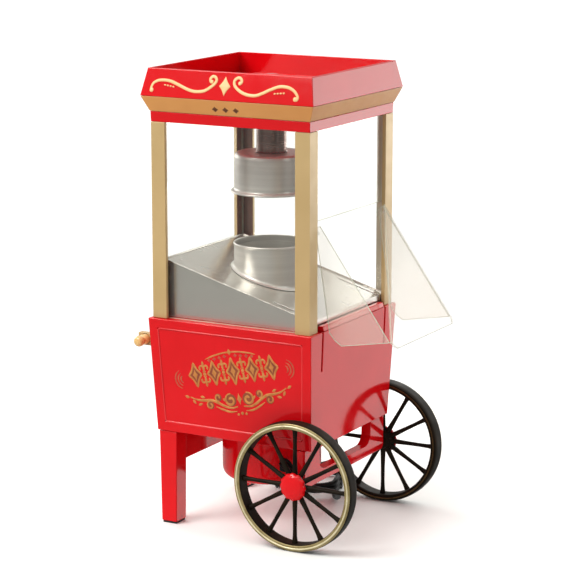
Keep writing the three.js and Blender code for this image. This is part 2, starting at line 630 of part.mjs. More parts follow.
// ---------------------------------------------------------------- switch and handle
function buildSwitch() {
  const { x, z, width, height } = SWITCH;
  const y = baseHalfY(z);
  const frame = box(x - width / 2 - 2, x + width / 2 + 2, y + 0.1, y + 1.9, z - height / 2 - 2, z + height / 2 + 2);
  const tub = box(x - width / 2 + 0.2, x + width / 2 - 0.2, y - 14, y + 0.2, z - height / 2 + 0.2, z + height / 2 - 0.2);
  const well = box(x - width / 2 + 1.6, x + width / 2 - 1.6, y - 9, y + 5, z - height / 2 + 1.6, z + height / 2 - 1.6);
  add('switch_body', cut(join(frame, tub), well), BLACK);
  const rocker = polygon([
    [-6.9, -5], [6.9, -5], [6.9, 0.9], [0, 0.1], [-6.9, 2.6],
  ]);
  const geometry = new THREE.ExtrudeGeometry(rocker, { depth: 9, bevelEnabled: false });
  geometry.translate(x, y + 1, z - 4.5);
  add('switch_rocker', solid(geometry), BLACK);
}

function buildHandle() {
  const bar = { x: -126.5, z: 207, end: 92 };
  const half = [
    [0, 0], [6, 0], [6.4, 40], [6, 79], [4.2, 80.5], [4, 82], [5.4, 83.2], [6.3, 86.2], [5.8, 89.2], [3.6, 91.4],
    [0, bar.end],
  ];
  const profile = [...half.slice(1).reverse().map(([r, y]) => [r, -y]), ...half.slice(2)];
  const armAt = 70;
  const grips = SIDES.map(([, side]) => rodY(6.6, side * armAt - 5, side * armAt + 5, 24, bar.x, bar.z));
  add('handle_bar', turnedY(profile, 16, bar.x, bar.z), CREAM_GOLD);
  for (const [i, [where, side]] of SIDES.entries()) {
    const wallX = -baseHalfX(bar.z) - GAP;
    const arm = taper(
      { z: bar.z - 7, x: [bar.x - 9, wallX], y: [side * armAt - 4, side * armAt + 4] },
      { z: bar.z + 7, x: [bar.x - 9, wallX - 0.5], y: [side * armAt - 4, side * armAt + 4] },
    );
    add(`handle_arm_${where}`, cut(arm, grips[i]), GOLD);
  }
}
buildSwitch();
buildHandle();

export default ground;
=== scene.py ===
"""Looks of the popcorn cart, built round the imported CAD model.

Row-frame metres throughout; millimetre values in the cabinet's own axes go through mm().
"""

import math

import bmesh
import bpy
from mathutils import Matrix, Vector
from mathutils.bvhtree import BVHTree


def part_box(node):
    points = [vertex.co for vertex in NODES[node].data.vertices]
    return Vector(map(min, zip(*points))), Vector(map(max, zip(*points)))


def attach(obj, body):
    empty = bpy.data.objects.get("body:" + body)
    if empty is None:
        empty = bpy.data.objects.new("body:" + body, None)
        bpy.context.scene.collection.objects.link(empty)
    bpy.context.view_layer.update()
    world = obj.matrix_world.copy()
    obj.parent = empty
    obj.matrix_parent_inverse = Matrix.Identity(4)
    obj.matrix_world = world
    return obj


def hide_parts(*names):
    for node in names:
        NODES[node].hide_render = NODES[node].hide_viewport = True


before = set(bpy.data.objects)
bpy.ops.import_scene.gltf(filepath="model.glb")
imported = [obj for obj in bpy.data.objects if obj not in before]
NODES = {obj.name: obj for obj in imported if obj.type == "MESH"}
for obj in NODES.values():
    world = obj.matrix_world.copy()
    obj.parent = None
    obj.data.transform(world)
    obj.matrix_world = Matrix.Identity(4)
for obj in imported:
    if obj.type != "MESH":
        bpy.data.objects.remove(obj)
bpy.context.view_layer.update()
SCENE = bpy.context.scene
SIDES = (("front", -1), ("rear", 1))


def middle(node):
    lo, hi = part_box(node)
    return (lo + hi) / 2


MID_X = middle("base_shell").x  # x = 0 of the cabinet's own axes
UP = Vector((0, 0, 1))
ACROSS = Vector((0, 1, 0))


def mm(x, y, z):
    """Millimetres in the cabinet's own axes, as row-frame metres."""
    return Vector((MID_X + x / 1000, y / 1000, z / 1000))


# ---------------------------------------------------------------- camera
CAMERA = {  # degrees, metres, mm on the cabinet's axes, mm of lens
    "azimuth": 28.85, "elevation": 11.67, "distance": 2.547, "target": (18.18, 0, 267.2), "lens": 140.81,
}


def add_camera():
    data = bpy.data.cameras.new("camera")
    camera = bpy.data.objects.new("camera", data)
    SCENE.collection.objects.link(camera)
    azimuth, elevation = (math.radians(CAMERA[k]) for k in ("azimuth", "elevation"))
    level = math.cos(elevation)
    back = Vector((math.sin(azimuth) * level, -math.cos(azimuth) * level, math.sin(elevation)))
    camera.location = mm(*CAMERA["target"]) + CAMERA["distance"] * back
    camera.rotation_euler = back.to_track_quat("Z", "Y").to_euler()
    data.lens = CAMERA["lens"]
    data.sensor_width = 36
    data.clip_end = 30
    SCENE.camera = camera


# ---------------------------------------------------------------- shader helpers
def srgb(*channels):
    """0-255 screen values as the linear colour that a socket takes."""
    linear = []
    for value in channels:
        c = value / 255
        linear.append(c / 12.92 if c <= 0.04045 else ((c + 0.055) / 1.055) ** 2.4)
    return (*linear, 1)


def put(tree, kind, sockets=None, **settings):
    """Adds a shader node; a socket's value is a constant or another node's output."""
    made = tree.nodes.new("ShaderNode" + kind)
    for key, value in settings.items():
        setattr(made, key, value)
    for key, value in (sockets or {}).items():
        if isinstance(value, bpy.types.NodeSocket):
            tree.links.new(value, made.inputs[key])
        else:
            made.inputs[key].default_value = value
    return made


def noise(tree, scale, stretch=(1, 1, 1), detail=3):
    """Noise laid in the row frame, in patches about 1 / scale metres across, finer along a stretched axis."""
    where = put(tree, "TexCoord").outputs["Object"]
    mapped = put(tree, "Mapping", {"Vector": where, "Scale": stretch}).outputs[0]
    return put(tree, "TexNoise", {"Vector": mapped, "Scale": scale, "Detail": detail}).outputs[0]


def between(tree, factor, low, high):
    return put(tree, "MapRange", {0: factor, 1: 0.3, 2: 0.7, 3: low, 4: high}).outputs[0]


CLEAR_TINT = (0.995, 0.998, 0.988, 1)
RELIEF_DEPTH = 0.0002  # metres that a finish's relief of 1 would stand
GRAZING_POWER = 5.0  # how late the gloss of a clear sheet comes in towards grazing sight


def finish(name, colour, other, patch=14, rough=(0.2, 0.3), rough_scale=70, grain=900, stretch=(1, 1, 1),
           relief=0.05, see_through=0.0, tint=CLEAR_TINT, **constants):
    """A finish whose colour, roughness and fine relief vary; constants go on the shader itself.

    see_through is the share of a clear sheet that isn't see-through, seen square on.
    """
    material = bpy.data.materials.new(name)
    material.use_nodes = True
    tree = material.node_tree
    tree.nodes.clear()
    patches = between(tree, noise(tree, patch, stretch), 0, 1)
    mix = put(tree, "Mix", {0: patches, 6: colour, 7: other}, data_type="RGBA")
    bump = put(tree, "Bump", {"Height": noise(tree, grain, stretch), "Strength": relief, "Distance": RELIEF_DEPTH})
    shader = put(tree, "BsdfPrincipled", {
        "Base Color": mix.outputs[2],
        "Roughness": between(tree, noise(tree, rough_scale, stretch), *rough),
        "Normal": bump.outputs[0],
        **{key.replace("_", " "): value for key, value in constants.items()},
    })
    surface = shader.outputs[0]
    if see_through:
        through = put(tree, "BsdfTransparent", {"Color": tint}).outputs[0]
        grazing = put(tree, "LayerWeight", {"Blend": 0.5}).outputs["Facing"]
        steep = put(tree, "Math", {0: grazing, 1: GRAZING_POWER}, operation="POWER").outputs[0]
        share = put(tree, "MapRange", {0: steep, 1: 0, 2: 1, 3: see_through, 4: 1.0}).outputs[0]
        surface = put(tree, "MixShader", {0: share, 1: through, 2: surface}).outputs[0]
    put(tree, "OutputMaterial", {"Surface": surface})
    return material


RED = finish(
    "red_gloss_plastic", srgb(216, 12, 22), srgb(206, 9, 17), rough=(0.06, 0.11), grain=420, relief=0.03,
    IOR=1.5,
)
# a real rounded moulding, in a lighter, pinker red than the panels: a painted highlight line
BEAD_PAINTED_HIGHLIGHT = finish(
    "red_moulding_painted_highlight", srgb(226, 52, 54), srgb(218, 40, 44), rough=(0.16, 0.26), grain=900, relief=0.05,
    Coat_Weight=0.6, Coat_Roughness=0.15,
)
GOLD = finish(
    "gold_painted_post", srgb(206, 176, 124), srgb(198, 168, 116), rough=(0.38, 0.5), grain=2600, relief=0.1,
    Metallic=0.25, Coat_Weight=0.3, Coat_Roughness=0.25,
)
BAND = finish(
    "gold_painted_band", srgb(232, 164, 88), srgb(222, 150, 76), rough=(0.3, 0.42), grain=2600, relief=0.1,
    Metallic=0.1, Coat_Weight=0.6, Coat_Roughness=0.12,
)
SCROLL = finish(
    "cream_scroll_paint", srgb(246, 205, 150), srgb(238, 190, 128), rough=(0.35, 0.5), grain=3000, relief=0.15,
)
PRINT = finish(
    "gold_print", srgb(214, 146, 76), srgb(186, 112, 52), patch=160, rough=(0.35, 0.5), grain=3000, relief=0.15,
    Metallic=0.2,
)
FAINT = finish(
    "worn_gold_print", srgb(196, 96, 56), srgb(176, 52, 40), patch=220, rough=(0.35, 0.5), grain=3000, relief=0.1,
)
SHADE = finish(
    "dark_print_shade", srgb(150, 74, 34), srgb(128, 52, 30), patch=160, rough=(0.4, 0.5), grain=3000, relief=0.1,
)
STAMPED = finish(
    "dark_stamped_print", srgb(116, 62, 28), srgb(96, 48, 22), patch=160, rough=(0.4, 0.5), grain=3000, relief=0.1,
)
CREAM = finish(
    "cream_gold_handle", srgb(226, 186, 122), srgb(214, 170, 104), rough=(0.22, 0.32), grain=1800, relief=0.06,
    Coat_Weight=0.6, Coat_Roughness=0.1,
)
SATIN = finish(
    "brushed_aluminium_sheet", srgb(226, 223, 217), srgb(212, 209, 203), patch=9, rough=(0.2, 0.28),
    stretch=(0.15, 1.2, 1.2), grain=300, relief=0.01, Metallic=0.85,
)
TURNED = finish(
    "spun_aluminium", srgb(226, 223, 218), srgb(206, 203, 198), patch=40, rough=(0.28, 0.4), rough_scale=120,
    stretch=(0.1, 0.1, 4), grain=700, relief=0.14, Metallic=0.6,
)
# steel darkened and reddened: a painted reflection of the red canopy's inside
TUBE_PAINTED_REFLECTION = finish(
    "steel_tube_painted_reflection", srgb(140, 118, 112), srgb(112, 88, 84), patch=30, rough=(0.22, 0.36), rough_scale=120,
    stretch=(0.1, 0.1, 4), grain=700, relief=0.12, Metallic=0.95,
)
STEEL = finish(
    "plain_steel", srgb(160, 161, 163), srgb(138, 139, 141), patch=60, rough=(0.26, 0.42), grain=2200, relief=0.1,
    Metallic=1.0,
)
# black plastic; the warm brown of its patches is a painted bronze sheen
WHEEL_BLACK_PAINTED_SHEEN = finish(
    "black_wheel_plastic_painted_sheen", srgb(20, 16, 12), srgb(38, 29, 19), patch=60, rough=(0.4, 0.55), grain=1500,
    relief=0.1, Specular_IOR_Level=0.08,
)
WHEEL_GOLD = finish(
    "antique_gold_rim", srgb(178, 162, 116), srgb(140, 122, 76), patch=90, rough=(0.26, 0.42), grain=1800,
    relief=0.12, Metallic=0.5,
)
# a painted highlight along the crown of the gold rim face
RIM_PAINTED_HIGHLIGHT = finish(
    "pale_gold_painted_highlight", srgb(232, 222, 186), srgb(214, 202, 160), patch=90, rough=(0.25, 0.4), grain=1800,
    relief=0.1, Metallic=0.3,
)
# insides of the left posts: painted shade and painted red reflection; insides of the posts on the door's side:
# painted light
POST_PAINTED_SHADE = finish(
    "post_inside_painted_shade", srgb(124, 70, 54), srgb(104, 56, 44), rough=(0.4, 0.55), grain=1800, relief=0.12,
)
POST_PAINTED_LIGHT = finish(
    "post_inside_painted_light", srgb(226, 216, 198), srgb(212, 200, 180), rough=(0.4, 0.55), grain=1800, relief=0.12,
)
# a painted bronze highlight for the groove on a wheel's inner face
BRONZE_PAINTED_HIGHLIGHT = finish(
    "groove_painted_bronze_highlight", srgb(112, 88, 52), srgb(74, 56, 32), patch=90, rough=(0.3, 0.45), grain=1800,
    relief=0.12, Metallic=0.7,
)
BLACK = finish(
    "black_moulded_plastic", srgb(26, 26, 27), srgb(34, 34, 34), rough=(0.35, 0.5), grain=2400, relief=0.25,
)
CORD_BLACK = finish(
    "black_pvc_flex", srgb(18, 18, 19), srgb(28, 28, 29), patch=60, rough=(0.5, 0.65), grain=1600, relief=0.2,
    Specular_IOR_Level=0.2,
)
RUBBER = finish(
    "dark_rubber_foot", srgb(40, 40, 41), srgb(58, 57, 55), patch=90, rough=(0.7, 0.85), grain=2600, relief=0.4,
)
MICA = finish(
    "mica_sheet", srgb(202, 191, 164), srgb(176, 164, 134), patch=160, rough=(0.5, 0.75), grain=700,
    stretch=(1, 1, 0.4), relief=0.35,
)
PANE = finish(
    "clear_pane", srgb(250, 250, 246), srgb(244, 245, 240), rough=(0.03, 0.07), grain=40, relief=0.02,
    see_through=0.04, Metallic=1.0,
)
DOOR_CLEAR = finish(
    "clear_door", srgb(253, 250, 240), srgb(250, 246, 234), rough=(0.06, 0.14), grain=40, relief=0.03,
    see_through=0.15, tint=(0.985, 0.978, 0.965, 1),
)
PANE_EDGE = finish(
    "cut_clear_edge", srgb(214, 216, 196), srgb(196, 198, 176), rough=(0.2, 0.3), grain=1800, relief=0.1,
)
FLOOR = finish(
    "pale_floor", srgb(250, 250, 249), srgb(246, 246, 245), patch=6, rough=(0.55, 0.65), grain=200, relief=0.02,
)


# ---------------------------------------------------------------- mesh helpers
def outward_mesh(name, points, faces):
    """A closed mesh whose faces all look outwards."""
    mesh = bpy.data.meshes.new(name)
    mesh.from_pydata([tuple(p) for p in points], [], faces)
    work = bmesh.new()
    work.from_mesh(mesh)
    bmesh.ops.recalc_face_normals(work, faces=work.faces)
    work.to_mesh(mesh)
    work.free()
    return mesh


def shade_smooth(mesh):
    mesh.polygons.foreach_set("use_smooth", [True] * len(mesh.polygons))


def piece(name, points, faces, material, body, stands_for=()):
    """A new mesh that rides a body and the CAD nodes it stands for."""
    mesh = outward_mesh(name, points, faces)
    shade_smooth(mesh)
    mesh.materials.append(material)
    made = bpy.data.objects.new(name, mesh)
    SCENE.collection.objects.link(made)
    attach(made, body)
    if stands_for:
        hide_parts(*stands_for)
    return made


def even_shading(obj):
    """Normals that follow the large faces, so that rounded edges shade cleanly."""
    shade = obj.modifiers.new("even_shading", "WEIGHTED_NORMAL")
    shade.keep_sharp = False
    shade.weight = 60


def soften(profile, radius, steps=3):
    """Rounds a profile's corners by radius, or by less than half of a short side beside one."""
    closed = profile[0] == profile[-1]
    corners = [Vector(p) for p in (profile[:-1] if closed else profile)]
    soft = []
    for i, corner in enumerate(corners):
        if not closed and i in (0, len(corners) - 1):
            soft.append(tuple(corner))
            continue
        before, after = corners[i - 1], corners[(i + 1) % len(corners)]
        reach = min(radius, 0.45 * (before - corner).length, 0.45 * (after - corner).length)
        start = corner + (before - corner).normalized() * reach
        end = corner + (after - corner).normalized() * reach
        for k in range(steps + 1):
            t = k / steps
            soft.append(tuple((1 - t) ** 2 * start + 2 * t * (1 - t) * corner + t * t * end))
    return soft + soft[:1] if closed else soft


def turned(profile, centre, axis, segments=96, lobe=None, side=Vector((1, 0, 0))):
    """Points and faces of (radius, height) pairs in mm turned about an axis through centre, from side on."""
    other = axis.cross(side)
    closed = profile[0] == profile[-1]
    points, rings, faces = [], [], []
    for radius, height in (profile[:-1] if closed else profile):
        at = centre + axis * height / 1000
        if radius < 1e-6:
            rings.append([len(points)] * segments)
            points.append(at)
            continue
        rings.append(list(range(len(points), len(points) + segments)))
        for i in range(segments):
            a = 2 * math.pi * i / segments
            r = (lobe(radius, a) if lobe else radius) / 1000
            points.append(at + side * r * math.cos(a) + other * r * math.sin(a))
    pairs = list(zip(rings, rings[1:])) + ([(rings[-1], rings[0])] if closed else [])
    for low, high in pairs:
        for i in range(segments):
            j = (i + 1) % segments
            corners = [low[i], low[j], high[j], high[i]]
            faces.append(list(dict.fromkeys(corners)))
    return points, faces


def turned_piece(name, profile, centre, axis, material, body, stands_for=(), round_by=0.5,
                 segments=96, lobe=None):
    points, faces = turned(soften(profile, round_by), centre, axis, segments, lobe)
    made = piece(name, points, faces, material, body, stands_for)
    even_shading(made)
    return made


def smooth_line(points, steps):
    """Catmull-Rom line through points of any size, steps to each stretch."""
    line = [Vector(p) for p in points]
    ends = [2 * line[0] - line[1], *line, 2 * line[-1] - line[-2]]
    made = []
    for a, b, c, d in zip(ends, ends[1:], ends[2:], ends[3:]):
        for k in range(steps):
            t = k / steps
            made.append(0.5 * (2 * b + (c - a) * t + (2 * a - 5 * b + 4 * c - d) * t * t
                               + (3 * b - a - 3 * c + d) * t ** 3))
    return made + [line[-1]]


WELD_REACH = 2e-6  # metres
FLAT_WITHIN = 0.6  # degrees


def dress(nodes, material, bevel=0.7, segments=3, angle=28, edge_material=None):
    """Keeps a CAD node's shape, with its edges rounded by bevel in mm, and gives it its finish."""
    for node in nodes:
        obj = NODES[node]
        mesh = obj.data
        mesh.materials.clear()
        mesh.materials.append(material)
        for extra in ("custom_normal", "sharp_edge"):
            if extra in mesh.attributes:
                mesh.attributes.remove(mesh.attributes[extra])
        shade_smooth(mesh)
        weld = obj.modifiers.new("weld", "WELD")
        weld.merge_threshold = WELD_REACH
        flat = obj.modifiers.new("flat", "DECIMATE")
        flat.decimate_type = "DISSOLVE"
        flat.angle_limit = math.radians(FLAT_WITHIN)
        if bevel:
            soft = obj.modifiers.new("soft_edges", "BEVEL")
            soft.width = bevel / 1000
            soft.segments = segments
            soft.limit_method = "ANGLE"
            soft.angle_limit = math.radians(angle)
            if edge_material:
                mesh.materials.append(edge_material)
                soft.material = 1
        even_shading(obj)


# ---------------------------------------------------------------- mains lead
CORD_D = 0.006
EXIT_AZIMUTH = math.radians(-47.4)
EXIT_DIR = Vector((math.cos(EXIT_AZIMUTH), math.sin(EXIT_AZIMUTH), 0))
EXIT_CENTRE = Vector((middle("hood").x, 0, 0.073))
SLEEVE_AT = EXIT_CENTRE + 0.064 * EXIT_DIR
SLEEVE_DIR = Vector((0.8, 0.1, -0.59)).normalized()
SLEEVE_LENGTH = 0.027
LEAD_ROUTE = (
    (62.6, -44.3, 56.5), (66.9, -42.6, 53.7), (71, -38.9, 50.8), (74, -33, 47.6), (75.6, -24, 44.4),
    (76, -14, 41), (75.4, -3, 37.3), (73.6, 9, 32.8), (70.6, 21, 27.7), (66.5, 33, 22.2),
    (60.6, 44.5, 16.6), (53.8, 55.5, 11.6), (47.2, 65, 7.8), (41.8, 72.6, 5.6), (37.8, 78.4, 4.6),
)
HANK = {"x": 2, "y": 118, "azimuth": math.radians(108), "half": 29, "r": 19, "low": 4.2, "rise": 6.1}
CLIMB = (20, 108)  # mm along the second half of a turn where it rises over its own start
STEP = 6  # mm between points on the hank's straights
BEND_POINTS = 10  # on each of its round ends
TAIL = {"along": 30, "aside": -13.5, "r": 31.5, "floor": 3.3, "plug_along": 17, "plug_z": 7.2}
TAIL_STEP = 15  # degrees between points on the tail's half circle
TAIL_FALL = (40, 140)  # degrees of it over which it comes down to the ground


def on_hank(along, aside, z):
    """A point in the hank's own axes: along its straights, aside from its middle line, z above ground."""
    a = HANK["azimuth"]
    return mm(
        HANK["x"] + along * math.cos(a) + aside * math.sin(a),
        HANK["y"] + along * math.sin(a) - aside * math.cos(a), z,
    )


def ease(value, low, high):
    """0 at low to 1 at high, with level ends."""
    t = min(1, max(0, (value - low) / (high - low)))
    return t * t * (3 - 2 * t)


def hank_turn(turn):
    """One turn of the hank: out along one side, round the end, back and round, rising over its own start."""
    half, r = HANK["half"], HANK["r"]
    level = HANK["low"] + turn * HANK["rise"]
    bend = [math.pi * k / BEND_POINTS for k in range(BEND_POINTS)]
    points = [on_hank(s, r, level) for s in range(-half, half, STEP)]
    points += [on_hank(half + r * math.sin(a), r * math.cos(a), level) for a in bend]
    for s in range(half, -half, -STEP):
        points.append(on_hank(s, -r, level + HANK["rise"] * ease(half - s, *CLIMB)))
    for a in bend:
        lift = ease(2 * half + r * a, *CLIMB)
        points.append(on_hank(-half - r * math.sin(a), -r * math.cos(a), level + HANK["rise"] * lift))
    return points


def lead_points():
    """The lead from inside its sleeve to the plug, in row-frame metres."""
    start = SLEEVE_AT + SLEEVE_DIR * (SLEEVE_LENGTH - 0.003)
    points = [start, *(mm(*p) for p in LEAD_ROUTE), on_hank(-39, 19.8, 4.3)]
    points += hank_turn(0) + hank_turn(1)
    top = HANK["low"] + 2 * HANK["rise"]
    half, along = HANK["half"], TAIL["along"]
    points += [on_hank(s, HANK["r"] - 0.5 * ease(s, -half, along), top) for s in range(-half, along - 5, STEP)]
    r, floor = TAIL["r"], TAIL["floor"]
    for degrees in range(0, 181, TAIL_STEP):
        a = math.radians(degrees)
        z = top - (top - floor) * ease(degrees, *TAIL_FALL)
        points.append(on_hank(along + r * math.sin(a), TAIL["aside"] + r * math.cos(a), z))
    aside = TAIL["aside"] - r
    points += [on_hank(25, aside, 6), on_hank(21, aside, TAIL["plug_z"]),
               on_hank(TAIL["plug_along"] - 2, aside, TAIL["plug_z"])]
    return points


def add_lead():
    line = smooth_line(lead_points(), 3)
    curve = bpy.data.curves.new("mains_lead", "CURVE")
    curve.dimensions = "3D"
    curve.bevel_depth = CORD_D / 2
    curve.bevel_resolution = 5
    curve.use_fill_caps = True
    spline = curve.splines.new("POLY")
    spline.points.add(len(line) - 1)
    for point, where in zip(spline.points, line):
        point.co = (*where, 1)
    spline.use_smooth = True
    curve.materials.append(CORD_BLACK)
    cord = bpy.data.objects.new("mains_lead", curve)
    SCENE.collection.objects.link(cord)
    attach(cord, "cart")
    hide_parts("cord_lead", "cord_hank", "cord_tail")


def add_strain_relief():
    flange = [(0, 52), (5.9, 52), (5.9, 57.4), (11, 57.4), (11, 60.2), (10, 61), (6.4, 61), (5.2, 64), (0, 65)]
    turned_piece("strain_relief_flange", flange, EXIT_CENTRE, EXIT_DIR, CORD_BLACK, "cart",
                 ["strain_relief"], round_by=0.6, segments=48)
    length = SLEEVE_LENGTH * 1000
    ribs = [(0, -6), (3.4, -5), (5.4, -2.6), (6, 0)]
    for i in range(6):
        h = 1.5 + 4 * i
        r = 5.7 - 1.8 * h / length
        ribs += [(r, h), (r - 0.15, h + 2.5), (r - 1, h + 2.7), (r - 1, h + 3.8)]
    ribs += [(3.95, length - 1.2), (3.7, length), (3.1, length), (3.05, length - 2), (0, length - 2)]
    turned_piece("strain_relief_sleeve", ribs, SLEEVE_AT, SLEEVE_DIR, CORD_BLACK, "cart",
                 round_by=0.35, segments=40)


# ---------------------------------------------------------------- kept CAD nodes
def dress_frame():
    dress(["base_shell"], RED, 1.0)
    dress(["base_front_panel", "base_rear_panel"], RED, 0.8)
    dress(["base_bottom_plate", "cabinet_ceiling"], RED, 0.4)
    dress(["sill_strip"], RED, 0.9)
    dress(["leg_front", "leg_rear", "leg_apron", "axle_yoke"], RED, 1.2)
    dress(["canopy_lower_band"], RED, 0.5)
    dress(["canopy_tray"], RED, 1.1)
    dress(["foot_pad_front", "foot_pad_rear"], RUBBER, 0.5)
    dress(["axle_rod", "air_duct", "motor_shaft", "motor", "motor_mount", "heater_coil"], STEEL, 0.3, 2, 40)
    dress(["heater_frame"], MICA, 0.2, 2, 40)
    dress(["fan_impeller"], BLACK, 0.3, 2, 40)
    posts = [f"post_{depth}_{side}" for depth in ("front", "rear") for side in ("left", "right")]
    dress(posts, GOLD, 0.7)
    for post in posts:
        paint_post_inside_light_and_shade(post)
    dress(["canopy_gold_band"], BAND, 0.6)
    dress(["tray_floor", "tray_side_front", "tray_side_rear", "tray_end"], SATIN, 0.35)
    dress(["popping_chamber"], TURNED, 0.25, 2, 40)
    dress(["handle_arm_front", "handle_arm_rear"], GOLD, 1.2)
    dress(["switch_body", "switch_rocker"], BLACK, 0.4)
    dress(["plug"], BLACK, 0.9, 3, 35)
    dress(["cord_tie"], BLACK, 0.5)
    dress([f"window_{w}" for w in ("front", "rear", "left", "right")], PANE, 0.3, 2, edge_material=PANE_EDGE)
    dress(["door_panel", "door_side_front", "door_side_rear"], DOOR_CLEAR, 0.45, 2, edge_material=PANE_EDGE)


POST_WALL = 0.0046  # just over the thickness of a post's two walls
SKIN = 0.001  # faces closer to the outside than this are outer ones


def paint_post_inside_light_and_shade(post):
    """The faces of a corner post that look into the cabinet: dark brown painted shade and painted red reflection on
    the left, pale painted light on the door's side.
    """
    mesh = NODES[post].data
    mesh.materials.append(POST_PAINTED_SHADE if middle(post).x < MID_X else POST_PAINTED_LIGHT)
    lo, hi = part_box(post)
    corner = Vector((max(lo.x, hi.x, key=lambda x: abs(x - MID_X)), max(lo.y, hi.y, key=abs), 0))
    inward = Vector((MID_X, 0, 0)) - corner
    for face in mesh.polygons:
        away = face.center - corner
        looks_in = any(
            face.normal[i] * inward[i] > 0 and SKIN < abs(away[i]) <= POST_WALL for i in range(2)
        )
        if looks_in and abs(face.normal.z) < 0.1:
            face.material_index = 1


# ---------------------------------------------------------------- wheels
WHEEL_R = 72.6
SPOKES = 12
SPOKE_SIDES = 20


def add_wheels():
    """Rim with its gold face and grooves, a painted highlight line on that face and a painted bronze highlight in the
    inner groove, hub, spokes and hub cap; heights are mm from the cart's middle plane.
    """
    for where, side in SIDES:
        node = f"wheel_{where}"
        centre = middle(node)
        centre.y = 0
        out = Vector((0, side, 0))
        rim = [
            (64.8, 100.8), (65.6, 99.2), (67.2, 98.7), (68.0, 99.7), (69.6, 99.7), (70.4, 98.7), (71.5, 99.1),
            (72.3, 101), (WHEEL_R, 104), (WHEEL_R, 112.4), (72.3, 115), (71.7, 116.2), (71.2, 116.5),
            (65.6, 116.5), (65, 115.8), (64.8, 114.4), (64.8, 100.8),
        ]
        turned_piece(f"{node}_rim", rim, centre, out, WHEEL_BLACK_PAINTED_SHEEN, node, [node], 0.8, 128)
        face = [
            (65.4, 116.2), (65.6, 116.9), (66.6, 117.3), (70.8, 117.3), (71.7, 116.9), (72, 116.2), (65.4, 116.2),
        ]
        turned_piece(f"{node}_rim_gold", face, centre, out, WHEEL_GOLD, node, (), 0.5, 128)
        # pale line on the gold face: a painted highlight
        line = [(68, 117.1), (68.1, 117.6), (68.6, 118), (69.3, 118), (69.8, 117.6), (69.9, 117.1), (68, 117.1)]
        turned_piece(f"{node}_rim_highlight_paint", line, centre, out, RIM_PAINTED_HIGHLIGHT, node, (), 0.3, 128)
        # ring in the rim's inner groove, coloured as a painted highlight
        groove = [(67.9, 99.2), (68.3, 98.9), (69.3, 98.9), (69.7, 99.2), (69.7, 99.9), (67.9, 99.9), (67.9, 99.2)]
        turned_piece(f"{node}_rim_groove_painted_highlight", groove, centre, out, BRONZE_PAINTED_HIGHLIGHT, node, (), 0.3, 128)
        hub = [
            (3.06, 99.8), (8, 99.8), (9.2, 101), (9.8, 103.4), (12.2, 105), (12.6, 107), (12.6, 110.6),
            (11.6, 112.6), (3.06, 113), (3.06, 99.8),
        ]
        turned_piece(f"{node}_hub", hub, centre, out, WHEEL_BLACK_PAINTED_SHEEN, node, (), 0.8, 64)
        add_spokes(node)
        cap = [
            (0, 115.4), (12.2, 114.6), (12.8, 113.4), (12.8, 111.2), (15.2, 111.2), (15.5, 112.2), (15.2, 113.6),
            (14, 115.2), (11.4, 116.6), (7.6, 117.6), (3.6, 118.1), (0, 118.25),
        ]
        turned_piece(f"hubcap_{where}_dome", cap, centre, out, RED, node, [f"hubcap_{where}"], 0.7,
                     lobe=scallop)


def scallop(radius, angle):
    """Twelve shallow lobes round the skirt of a hub cap."""
    return radius + 0.45 * math.cos(12 * angle) * ease(radius, 12.9, 15)


def add_spokes(node):
    """Turned spokes: slightly swollen by the hub, slim in the middle, flared where they meet the rim."""
    profile = soften([
        (0, 9), (2.9, 9), (3.1, 13), (2.9, 18), (2.35, 34), (2.2, 48), (2.45, 58), (3.1, 63), (3.4, 65.4),
        (0, 65.4),
    ], 1.0)
    points, faces = [], []
    for i in range(SPOKES):
        a = 2 * math.pi * i / SPOKES
        along = Vector((math.sin(a), 0, math.cos(a)))
        spoke, around = turned(profile, middle(node), along, SPOKE_SIDES, side=ACROSS)
        faces += [[len(points) + k for k in face] for face in around]
        points += spoke
    made = piece(f"{node}_spokes", points, faces, WHEEL_BLACK_PAINTED_SHEEN, node)
    even_shading(made)


